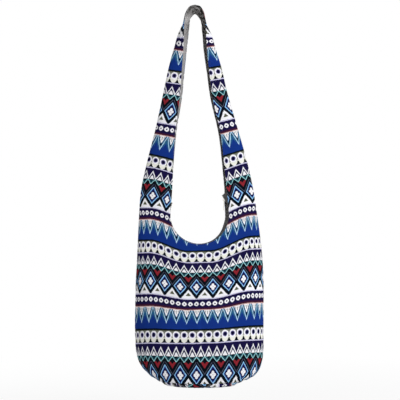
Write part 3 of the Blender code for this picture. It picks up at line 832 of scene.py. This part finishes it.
def row_gap(angle):
    """Half the gap between the rows of teeth: joined at the right end, open from there round."""
    opened = 1 - ease(OPEN_START, JOIN_END, angle)
    return JOINED_HALF_GAP + (OPEN_HALF_GAP - JOINED_HALF_GAP) * opened


def track(angle, radius, y):
    """Points of the zip: an angle about the mouth's middle, a radius and a depth."""
    parts = (MOUTH_X + radius * np.cos(angle), y + 0 * angle, MOUTH_Z + radius * np.sin(angle))
    return np.stack(np.broadcast_arrays(*parts), axis=-1)


def mouth_edge(angles):
    """Radius and depth of the front lining's inner face just behind the mouth's edge."""
    points, normals, u, v = surfaces["front"]
    spots, ways, _, _ = row_at(points, normals, u, v, TAPE_SETBACK)
    around = np.arctan2(spots[:, 2] - MOUTH_Z, spots[:, 0] - MOUTH_X)
    around = np.where(around > math.radians(90), around - math.tau, around)
    order = np.argsort(around)
    reach = np.hypot(spots[:, 0] - MOUTH_X, spots[:, 2] - MOUTH_Z)
    radius = np.interp(angles, around[order], reach[order])
    return radius, np.interp(angles, around[order], -spots[order, 1])


def woven_tape(name):
    look = Finish(name, Roughness=0.9, Specular_IOR_Level=0.15)
    where = look.node("UVMap", {"uv_map": "cloth"}).outputs[0]
    split = look.node("SeparateXYZ", _0=where)
    along, over = Number(split.outputs[0]), Number(split.outputs[1])
    twill = ((along + abs((over * 400).part() - 0.5) * 0.002) * 4200).wave() * 0.5 + 0.5
    fuzz = Number(look.noise(where, 700.0)[0])
    dark, light = (0.040, 0.041, 0.044, 1), (0.190, 0.185, 0.175, 1)
    shade = look.mix(twill * 0.6 + fuzz * 0.4, dark, light)
    bump = look.node("Bump", _0=0.4, Distance=0.0002, Height=twill)
    return look.finish(Base_Color=shade, Normal=bump.outputs[0])


tape_material = woven_tape("charcoal zip tape")
tape_angles = np.linspace(ZIP_START + ZIP_SPARE, ZIP_END - ZIP_SPARE, TAPE_ROWS + 1)
for name, side in (("front", -1), ("back", 1)):
    radius, deep = mouth_edge(tape_angles)
    share = np.linspace(0, 1, TAPE_ACROSS + 1)[None, :]
    near = (row_gap(tape_angles) + TOOTH_DEPTH + LAYER_GAP)[:, None]
    radii = radius[:, None] + (ZIP_RADIUS - radius[:, None]) * share
    depth = deep[:, None] + (near - deep[:, None]) * share
    ripple = 0.0004 * np.sin(tape_angles * 38)[:, None] * np.sin(math.pi * share)
    angles = np.repeat(tape_angles[:, None], TAPE_ACROSS + 1, axis=1)
    skins = [track(angles, radii + ripple + way * 0.5 * TAPE, side * depth) for way in (-1, 1)]
    sections = np.concatenate((skins[0], skins[1][:, ::-1]), axis=1)
    flat = np.stack((ZIP_RADIUS * angles, depth), axis=-1)
    tape = lofted(name + "_woven_tape", sections, False, np.concatenate((flat, flat[:, ::-1]), axis=1))
    tape.data.materials.append(tape_material)
    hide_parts(name + "_zip_tape")
    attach(tape, "bag")


# Teeth of dark moulded plastic, one row on each tape. Every tooth is a neck with a wider head, and
# they stand half a pitch apart across the two rows, so that the rows mesh.
class Growth:
    """A Geometry Nodes tree that sets a shape at every point of a mesh, turned as the point says."""

    def __init__(self, name, inputs):
        self.tree = bpy.data.node_groups.new(name, "GeometryNodeTree")
        face = self.tree.interface
        face.new_socket("Geometry", in_out="INPUT", socket_type="NodeSocketGeometry")
        self.sockets = {}
        for label, kind in inputs.items():
            self.sockets[label] = face.new_socket(label, in_out="INPUT", socket_type="NodeSocket" + kind)
        face.new_socket("Geometry", in_out="OUTPUT", socket_type="NodeSocketGeometry")
        self.given = self.tree.nodes.new("NodeGroupInput")

    def node(self, kind, settings=None, **sockets):
        made = self.tree.nodes.new(kind)
        for name, value in (settings or {}).items():
            setattr(made, name, value)
        for name, value in sockets.items():
            slot = made.inputs[int(name[1:]) if name[1:].isdigit() else name.replace("_", " ")]
            if isinstance(value, bpy.types.NodeSocket):
                self.tree.links.new(value, slot)
            else:
                slot.default_value = value
        return made

    def ends(self, instances, material):
        real = self.node("GeometryNodeRealizeInstances", Geometry=instances)
        coloured = self.node("GeometryNodeSetMaterial", Geometry=real.outputs[0], Material=material)
        self.tree.links.new(coloured.outputs[0], self.tree.nodes.new("NodeGroupOutput").inputs[0])

    def grown(self, name, carrier, values):
        """The plain mesh that the tree makes from a carrier, with its inputs set by identifier."""
        step = carrier.modifiers.new(self.tree.name, "NODES")
        step.node_group = self.tree
        for label, value in values.items():
            step[self.sockets[label].identifier] = value
        bpy.context.scene.collection.objects.link(carrier)
        graph = bpy.context.evaluated_depsgraph_get()
        mesh = bpy.data.meshes.new_from_object(carrier.evaluated_get(graph))
        carrier.modifiers.remove(step)
        bpy.data.objects.remove(carrier)
        return finished(name, mesh)


def turned_points(name, places, turns):
    """A mesh of bare points, each with the turn that its shape gets."""
    mesh = bpy.data.meshes.new(name)
    mesh.from_pydata([tuple(place) for place in places], [], [])
    turn = mesh.attributes.new("turn", "FLOAT_VECTOR", "POINT")
    turn.data.foreach_set("vector", np.asarray(turns, dtype=np.float32).ravel())
    return bpy.data.objects.new(name, mesh)


HEAD_WIDTH, NECK_WIDTH, HEAD_DEPTH = 0.0034, 0.0017, 0.0014
teeth_finish = Finish("dark moulded teeth", Roughness=0.42, Specular_IOR_Level=0.5)
teeth_spots = teeth_finish.node("TexCoord").outputs["Object"]
teeth_grain = teeth_finish.node("TexNoise", Vector=teeth_spots, Scale=900.0).outputs[0]
teeth_shade = teeth_finish.mix(teeth_grain, (0.016, 0.017, 0.022, 1), (0.040, 0.042, 0.050, 1))
teeth_rough = Number(teeth_grain) * 0.2 + 0.32
teeth_material = teeth_finish.finish(Base_Color=teeth_shade, Roughness=teeth_rough)

teeth_sizes = {
    "Depth": TOOTH_DEPTH,
    "Height": TOOTH_HEIGHT,
    "Head": HEAD_WIDTH,
    "Neck": NECK_WIDTH,
    "Nub": HEAD_DEPTH,
}
teeth_tree = Growth("teeth on a cord", {label: "Float" for label in teeth_sizes})
given = teeth_tree.given.outputs
neck_size = teeth_tree.node("ShaderNodeCombineXYZ", X=given["Neck"], Y=given["Depth"], Z=given["Height"])
head_size = teeth_tree.node("ShaderNodeCombineXYZ", X=given["Head"], Y=given["Nub"], Z=given["Height"])
parts = teeth_tree.node("GeometryNodeJoinGeometry")
half = teeth_tree.node("ShaderNodeMath", {"operation": "MULTIPLY"}, _0=given["Depth"], _1=0.5)
nub_half = teeth_tree.node("ShaderNodeMath", {"operation": "MULTIPLY"}, _0=given["Nub"], _1=0.5)
for size, reach, cells in ((neck_size, half, 2), (head_size, nub_half, 3)):
    cells_each_way = {"Vertices_X": cells, "Vertices_Y": 2, "Vertices_Z": 2}
    block = teeth_tree.node("GeometryNodeMeshCube", Size=size.outputs[0], **cells_each_way)
    shift = teeth_tree.node("ShaderNodeCombineXYZ", X=0.0, Y=reach.outputs[0], Z=0.0)
    moved = teeth_tree.node("GeometryNodeTransform", Geometry=block.outputs[0], Translation=shift.outputs[0])
    teeth_tree.tree.links.new(moved.outputs[0], parts.inputs[0])
turn = teeth_tree.node("GeometryNodeInputNamedAttribute", {"data_type": "FLOAT_VECTOR"}, Name="turn")
turned = teeth_tree.node("FunctionNodeEulerToRotation", Euler=turn.outputs[0])
rows = teeth_tree.node(
    "GeometryNodeInstanceOnPoints",
    Points=given["Geometry"],
    Instance=parts.outputs[0],
    Rotation=turned.outputs[0],
)
teeth_tree.ends(rows.outputs[0], teeth_material)

pitch_angle = TOOTH_PITCH / ZIP_RADIUS
for name, side, first in (("front", -1, 0.25), ("back", 1, 0.75)):
    teeth_angles = np.arange(ZIP_START - first * pitch_angle, ZIP_END, -pitch_angle)
    places = track(teeth_angles, ZIP_RADIUS, side * row_gap(teeth_angles))
    flip = 0 if side > 0 else math.pi
    turns = [(flip, (math.pi / 2 - angle) * side, 0) for angle in teeth_angles]
    carrier = turned_points(name + " teeth", places, turns)
    teeth = teeth_tree.grown(name + "_moulded_teeth", carrier, teeth_sizes)
    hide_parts(name + "_zip_teeth")
    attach(teeth, "bag")

# The thickened edge of each tape, round and covered in the tape's own weave, which the teeth grip.
EDGE_RADIUS, EDGE_SIDES = 0.0009, 8
edge_angles = np.linspace(ZIP_START + ZIP_SPARE, ZIP_END - ZIP_SPARE, TAPE_ROWS + 1)
for name, side in (("front", -1), ("back", 1)):
    centre = side * (row_gap(edge_angles) + TOOTH_DEPTH + 0.0002)
    around = np.linspace(0, math.tau, EDGE_SIDES, endpoint=False)[None, :]
    radii = ZIP_RADIUS + EDGE_RADIUS * np.cos(around) + 0 * edge_angles[:, None]
    depth = centre[:, None] + EDGE_RADIUS * np.sin(around)
    sections = track(np.repeat(edge_angles[:, None], EDGE_SIDES, axis=1), radii, depth)
    flat = np.stack(np.broadcast_arrays(ZIP_RADIUS * edge_angles[:, None], EDGE_RADIUS * around), axis=-1)
    edge = lofted(name + "_tape_edge", sections, False, flat)
    edge.data.materials.append(tape_material)
    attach(edge, "bag")


# Slider, pull and stops, die-cast or pressed in nickel-plated metal with a dull, warm shine.
def dull_nickel(name, colour, rough):
    look = Finish(name, Metallic=0.55)
    spot = look.node("TexCoord").outputs["Object"]
    grain = look.node("TexNoise", Vector=spot, Scale=650.0, Detail=4.0).outputs[0]
    dark = tuple(0.86 * channel for channel in colour) + (1,)
    bump = look.node("Bump", _0=0.12, Distance=0.0001, Height=grain)
    shade = look.mix(grain, dark, colour + (1,))
    return look.finish(Base_Color=shade, Roughness=Number(grain) * 0.2 + rough, Normal=bump.outputs[0])


def rounded_copy(node, name, width):
    """A node's own shape with its edges rounded off."""
    bm = bmesh.new()
    bm.from_mesh(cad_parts[node].data)
    bmesh.ops.transform(bm, matrix=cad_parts[node].matrix_world, verts=bm.verts)
    bmesh.ops.remove_doubles(bm, verts=bm.verts, dist=0.00002)
    bmesh.ops.dissolve_limit(bm, angle_limit=math.radians(2), verts=bm.verts, edges=bm.edges)
    mesh = bpy.data.meshes.new(name)
    bm.to_mesh(mesh)
    bm.free()
    made = bpy.data.objects.new(name, mesh)
    bpy.context.scene.collection.objects.link(made)
    step = made.modifiers.new("rounded edges", "BEVEL")
    step.width, step.segments, step.limit_method = width, 2, "ANGLE"
    step.angle_limit = math.radians(35)
    graph = bpy.context.evaluated_depsgraph_get()
    rounded = bpy.data.meshes.new_from_object(made.evaluated_get(graph))
    bpy.data.objects.remove(made)
    return finished(name, rounded)


nickel = dull_nickel("dull nickel", (0.88, 0.86, 0.80), 0.36)
pull_nickel = dull_nickel("pull nickel", (0.93, 0.89, 0.76), 0.42)
metal_pieces = (
    ("zip_slider", "slider", nickel, 0.0003),
    ("zip_pull", "pull", pull_nickel, 0.0003),
    ("front_zip_stop", "bag", nickel, 0.0004),
    ("back_zip_stop", "bag", nickel, 0.0004),
    ("zip_bottom_stop", "bag", nickel, 0.0004),
)
for node, body, look, width in metal_pieces:
    piece = rounded_copy(node, "rounded_" + node, width)
    piece.data.materials.clear()
    piece.data.materials.append(look)
    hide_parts(node)
    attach(piece, body)

# Sewing thread: a row of stitches round each open edge and one along the base seam. Each stitch is a
# short rounded length of navy thread on the cloth's face.
STITCH, STITCH_PITCH, STITCH_THICKNESS = 0.0023, 0.0032, 0.0005
thread_finish = Finish("navy thread", Roughness=0.7, Specular_IOR_Level=0.3)
thread_spots = thread_finish.node("TexCoord").outputs["Object"]
thread_grain = thread_finish.node("TexNoise", Vector=thread_spots, Scale=1500.0).outputs[0]
thread_shade = thread_finish.mix(thread_grain, (0.020, 0.024, 0.070, 1), (0.055, 0.060, 0.130, 1))
thread_material = thread_finish.finish(Base_Color=thread_shade)

stitch_inputs = {"Length": "Float", "Thickness": "Float", "Unevenness": "Float", "Seed": "Int"}
stitch_tree = Growth("stitches", stitch_inputs)
given = stitch_tree.given.outputs
ball = stitch_tree.node("GeometryNodeMeshUVSphere", Segments=6, Rings=5, Radius=0.5)
thick = given["Thickness"]
stretch = stitch_tree.node("ShaderNodeCombineXYZ", X=given["Length"], Y=thick, Z=thick)
stitch = stitch_tree.node("GeometryNodeTransform", Geometry=ball.outputs[0], Scale=stretch.outputs[0])
least = stitch_tree.node("ShaderNodeMath", {"operation": "SUBTRACT"}, _0=1.0, _1=given["Unevenness"])
size = stitch_tree.node(
    "FunctionNodeRandomValue", {"data_type": "FLOAT"}, _2=least.outputs[0], _3=1.0, Seed=given["Seed"]
)
turn = stitch_tree.node("GeometryNodeInputNamedAttribute", {"data_type": "FLOAT_VECTOR"}, Name="turn")
turned = stitch_tree.node("FunctionNodeEulerToRotation", Euler=turn.outputs[0])
rows = stitch_tree.node(
    "GeometryNodeInstanceOnPoints",
    Points=given["Geometry"],
    Instance=stitch.outputs[0],
    Rotation=turned.outputs[0],
    Scale=size.outputs[1],
)
stitch_tree.ends(rows.outputs[0], thread_material)


def stitch_points(path, closed):
    """Places at an even pitch along a path, each with the turn that lays a stitch along it."""
    if closed:
        path = np.concatenate((path, path[:1]))
    steps = np.linalg.norm(np.diff(path, axis=0), axis=1)
    places = np.concatenate(([0], np.cumsum(steps)))
    at = np.arange(0.5 * STITCH_PITCH, places[-1], STITCH_PITCH)
    spots = np.stack([np.interp(at, places, path[:, axis]) for axis in range(3)], axis=1)
    ahead = np.stack([np.interp(at + 0.3 * STITCH_PITCH, places, path[:, axis]) for axis in range(3)], axis=1)
    ways = ahead - spots
    turns = [(0, -math.atan2(z, math.hypot(x, y)), math.atan2(y, x)) for x, y, z in ways]
    return list(spots), turns


EDGE_STITCH, BASE_STITCH = 0.0042, 0.0035
outer_face = LINING_CLOTH + LAYER_GAP + CANVAS + 0.2 * STITCH_THICKNESS
for seed, (name, (points, normals, u, v)) in enumerate(surfaces.items()):
    spots, ways, _, _ = row_at(points, normals, u, v, EDGE_STITCH)
    places, turns = stitch_points(spots + ways * outer_face, True)
    low = points[:, -1, 2] < BASE_Z + 1e-5
    flipped = [grid[low][:, ::-1] for grid in (points, normals, u, v)]
    spots, ways, _, _ = row_at(*flipped, BASE_STITCH)
    more, more_turns = stitch_points(spots + ways * outer_face, False)
    carrier = turned_points(name + " stitches", places + more, turns + more_turns)
    sizes = {"Length": STITCH, "Thickness": STITCH_THICKNESS, "Unevenness": 0.18, "Seed": seed}
    thread = stitch_tree.grown(name + "_stitches", carrier, sizes)
    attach(thread, "bag")
    name + "_print"

# Camera, straight in front of the bag at the height of its middle
PHOTO_WIDTH = 1.0
camera_data = bpy.data.cameras.new("camera")
camera_data.sensor_width = 36.0
camera_data.lens = camera_data.sensor_width * VIEW_DISTANCE / PHOTO_WIDTH
camera = bpy.data.objects.new("camera", camera_data)
camera.location = (VIEW_X, -VIEW_DISTANCE, VIEW_Z)
camera.rotation_euler = (math.radians(90), 0, 0)
bpy.context.scene.collection.objects.link(camera)
bpy.context.scene.camera = camera

# Plain pale floor under the bag. To the camera it turns white towards its far side, like the
# background, and near the bag it keeps the shadow.
FLOOR_Z, FLOOR_REACH = -1.05, 4.0
NEAR_FLOOR, FAR_FLOOR = 0.3, 1.4
corners = [(x * FLOOR_REACH, y * FLOOR_REACH, FLOOR_Z) for x, y in ((-1, -1), (1, -1), (1, 1), (-1, 1))]
floor_mesh = bpy.data.meshes.new("floor")
floor_mesh.from_pydata(corners, [], [(0, 1, 2, 3)])
floor = bpy.data.objects.new("floor", floor_mesh)
bpy.context.scene.collection.objects.link(floor)
pale = Finish("pale floor", Base_Color=(0.84, 0.84, 0.84, 1), Roughness=0.9)
spot = pale.node("SeparateXYZ", _0=pale.node("TexCoord").outputs["Object"])
floor_x, floor_y = Number(spot.outputs[0]), Number(spot.outputs[1])
away = (floor_x * floor_x + floor_y * floor_y).root()
whiter = ((away - NEAR_FLOOR) * (1 / (FAR_FLOOR - NEAR_FLOOR))).most(0.0).least(1.0) * 0.25 + 0.75
seen = Number(pale.node("LightPath").outputs["Is Camera Ray"])
white = pale.node("Emission", Color=(1, 1, 1, 1), Strength=1.0)
blended = pale.node("MixShader", _0=seen * whiter, _1=pale.shader.outputs[0], _2=white.outputs[0])
pale.feed(pale.tree.nodes["Material Output"].inputs["Surface"], blended.outputs[0])
floor_mesh.materials.append(pale.material)


# Soft studio light: a broad key lamp from the right front, a weaker one from the left, one behind
# for the back of the bag, and a white surround that the camera, the metal and the gloss see.
def area_light(name, place, target, size, power):
    data = bpy.data.lights.new(name, "AREA")
    data.size = size
    data.energy = power
    made = bpy.data.objects.new(name, data)
    made.location = place
    made.rotation_euler = (Vector(target) - Vector(place)).to_track_quat("-Z", "Y").to_euler()
    bpy.context.scene.collection.objects.link(made)


area_light("key", (2.1, -2.0, 0.5), (0, 0, -0.5), 1.1, 66)
area_light("fill", (-1.8, -1.8, 0.0), (0, 0, -0.5), 1.6, 8)
area_light("back", (-1.4, 2.3, 0.4), (0, 0, -0.5), 1.6, 46)
world = bpy.data.worlds.new("studio")
world.use_nodes = True
bpy.context.scene.world = world
background = world.node_tree.nodes["Background"]
background.inputs["Color"].default_value = (1, 1, 1, 1)
path = world.node_tree.nodes.new("ShaderNodeLightPath")
rays = Number(path.outputs["Is Camera Ray"]).most(Number(path.outputs["Is Glossy Ray"]))
rays = rays.most(Number(path.outputs["Is Transmission Ray"]))
SURROUND = 0.32
world.node_tree.links.new((rays * (1 - SURROUND) + SURROUND).socket, background.inputs["Strength"])
bpy.context.scene.view_settings.view_transform = "Standard"
